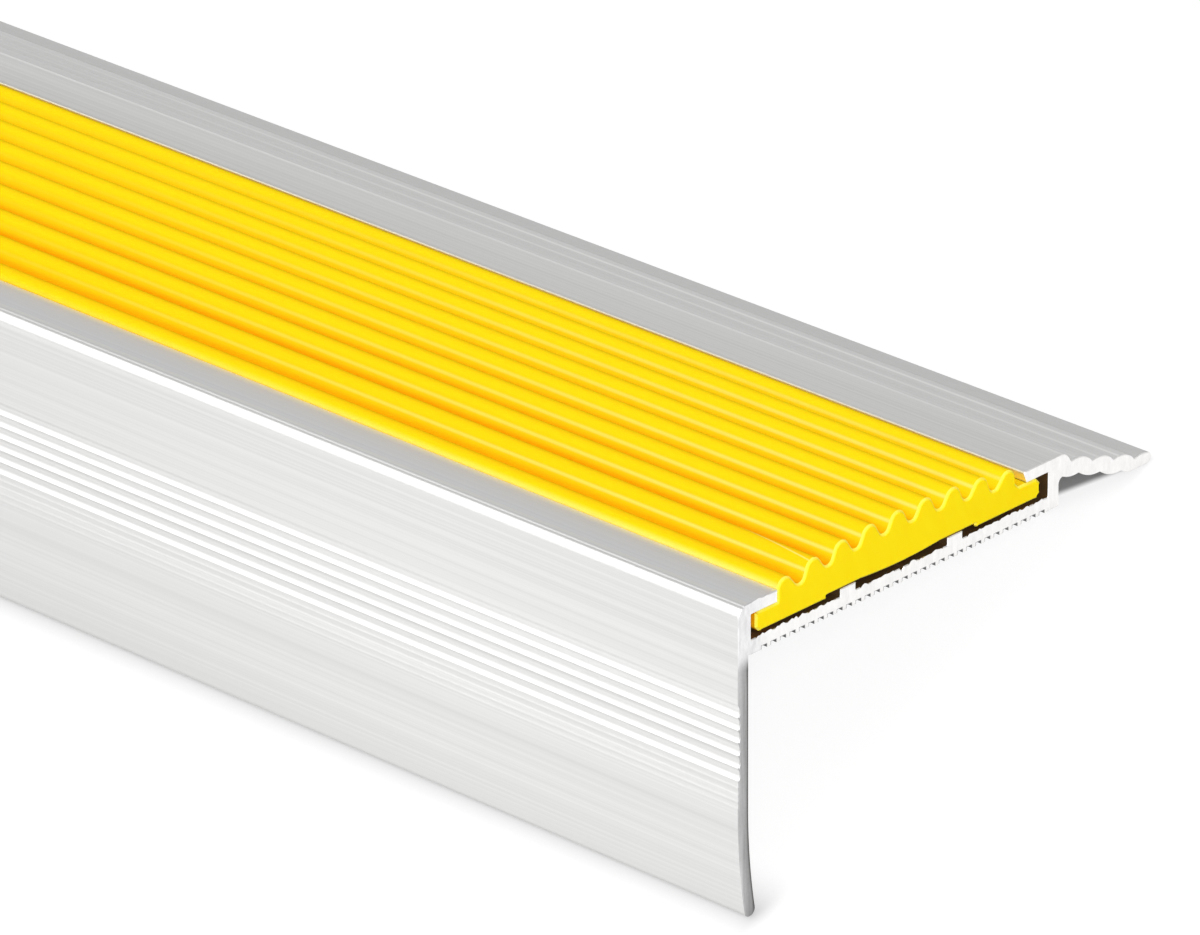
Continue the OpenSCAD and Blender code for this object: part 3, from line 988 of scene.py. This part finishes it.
metal_plate, _ = section_plate("extrusion_section", profile_outline(), METAL_STEP, METAL_BREAK)
extrusion = run_stock(
    "aluminium_extrusion",
    metal_plate,
    tree,
    tree_inputs,
    {
        "Length": LENGTH / 1000,
        "Edge Break": METAL_BREAK,
        "Burr": METAL_BURR,
        "Burr Seed": METAL_SEED,
        "Side Finish": mill_aluminium(),
        "Cut Finish": sawn_aluminium(),
    },
)

insert_plate, insert_points = section_plate("insert_section", insert_outline(), INSERT_STEP, INSERT_BREAK)
keep_on_points(insert_plate, "groove_depth", [groove_depth(p) for p in insert_points])
keep_on_points(insert_plate, "shoulder", [shoulder(p) for p in insert_points])
keep_on_points(insert_plate, "rear_side", [rear_side(p) for p in insert_points])
keep_on_points(insert_plate, "scuffed_lean", [rib_lean(p, SCUFFED_RIB) for p in insert_points])
insert = run_stock(
    "yellow_insert",
    insert_plate,
    tree,
    tree_inputs,
    {
        "Length": LENGTH / 1000,
        "Edge Break": INSERT_BREAK,
        "Burr": 0.0,
        "Burr Seed": INSERT_SEED,
        "Side Finish": yellow_vinyl(),
        "Cut Finish": cut_vinyl(),
    },
)

for piece, node, slot in (
    (extrusion, "aluminium_profile", "aluminium"),
    (insert, "ribbed_insert", "insert"),
):
    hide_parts(node)
    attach(piece, "root")

# Studio: pale floor, soft light, camera, in metres

FLOOR_HALF = 12
WALL_CLEAR = 0.003
MOUTH_REACH = 0.009
END_FALL = 1.8


def under_ramp_shade(nodes, inside, y):
    """Dark under the ramp, where light comes in only at the open end."""
    wall_y = placed((BACK_Y, 0))[0] + WALL_CLEAR
    tip_y = placed(TIP_C)[0]
    past_mouth = nodes.minus(inside, nodes.range(y, wall_y, tip_y, MOUTH_REACH, 0.0))
    dark = nodes.range(past_mouth, -0.0004, 0.0013, 0.0, 0.97, True)
    dim = nodes.range(past_mouth, -0.005, 0.0, 0.0, 0.1, True)
    return nodes.times(nodes.larger(dark, dim), nodes.between(y, wall_y, tip_y, 0.0005))


def contact_shade(nodes, inside, y, foot, spread, share):
    """Soft shade beside a line on which the nosing stands, which fades fast past the end."""
    beyond = nodes.larger(nodes.times(inside, -END_FALL), 0.0)
    gap = nodes.distance(nodes.minus(y, placed(foot)[0]), beyond)
    near = nodes.range(gap, 0.0, spread, 1.0, 0.0)
    return nodes.times(nodes.times(near, near), share)


def pale_floor():
    """Floor that shows white where it is lit, keeps the nosing's real shadow on its dim diffuse part, and
    has painted shade in its glow under the ramp and beside the lines where the nosing stands.
    """
    finish, nodes, shader, where = new_finish("pale_floor")
    shader.inputs["Base Color"].default_value = (0.3, 0.3, 0.3, 1)
    shader.inputs["Roughness"].default_value = 0.9
    shader.inputs["Specular IOR Level"].default_value = 0.1
    path = nodes.add("ShaderNodeLightPath").outputs
    seen = nodes.larger(path["Is Camera Ray"], path["Is Glossy Ray"])
    seen = nodes.larger(seen, path["Is Transmission Ray"])
    x, y, _ = nodes.split(where)
    inside = nodes.minus(LENGTH / 2000, nodes.math("ABSOLUTE", x))
    shade = under_ramp_shade(nodes, inside, y)
    for foot, spread, share in ((LEG_END, 0.0075, 0.52), (TIP_C, 0.0038, 0.2)):
        shade = nodes.larger(shade, contact_shade(nodes, inside, y, foot, spread, share))
    shader.inputs["Emission Color"].default_value = (1, 1, 1, 1)
    glow = nodes.range(shade, 0.0, 1.0, 0.78, 0.0)
    finish.node_tree.links.new(nodes.times(seen, glow), shader.inputs["Emission Strength"])
    return finish


floor_corners = [(FLOOR_HALF * x, FLOOR_HALF * y, 0) for x, y in ((-1, -1), (1, -1), (1, 1), (-1, 1))]
floor_mesh = bpy.data.meshes.new("floor")
floor_mesh.from_pydata(floor_corners, [], [(0, 1, 2, 3)])
floor_mesh.materials.append(pale_floor())
studio_floor = bpy.data.objects.new("floor", floor_mesh)
bpy.context.scene.collection.objects.link(studio_floor)

world = bpy.data.worlds.new("studio")
world.use_nodes = True
world.node_tree.nodes["Background"].inputs["Color"].default_value = (1, 1, 1, 1)
world.node_tree.nodes["Background"].inputs["Strength"].default_value = 0.5
bpy.context.scene.world = world


def softbox(name, place, aim, width, height, power):
    """A soft light that faces a point."""
    light = bpy.data.lights.new(name, "AREA")
    light.shape = "RECTANGLE"
    light.size = width
    light.size_y = height
    light.energy = power
    lamp = bpy.data.objects.new(name, light)
    bpy.context.scene.collection.objects.link(lamp)
    lamp.location = place
    lamp.rotation_euler = (Vector(aim) - Vector(place)).to_track_quat("-Z", "Y").to_euler()


softbox("front_softbox", (-0.63, -0.68, 1.08), (0.42, 0, 0.02), 1.7, 1.8, 15)
softbox("top_softbox", (0.3, 0.0, 2.2), (0.3, 0, 0), 1.6, 1.6, 5)
softbox("end_softbox", (2.07, -0.64, 1.08), (0.5, 0, 0.02), 1.2, 1.2, 31)

# Camera where the photograph was taken from: a long lens, a little turned to the floor
EYE = Vector((1.1516, -0.4576, 0.7671))
RIGHT = Vector((0.72787, 0.61480, -0.30374))
UP = Vector((-0.28716, 0.67550, 0.67915))
lens = bpy.data.cameras.new("camera")
lens.sensor_width = 36.0
lens.lens = 292.2
lens.clip_start = 0.01
lens.clip_end = 100.0
camera = bpy.data.objects.new("camera", lens)
bpy.context.scene.collection.objects.link(camera)
back = RIGHT.cross(UP).normalized()
camera.matrix_world = Matrix.Translation(EYE) @ Matrix((RIGHT, UP, back)).transposed().to_4x4()
bpy.context.scene.camera = camera
bpy.context.scene.view_settings.view_transform = "Standard"
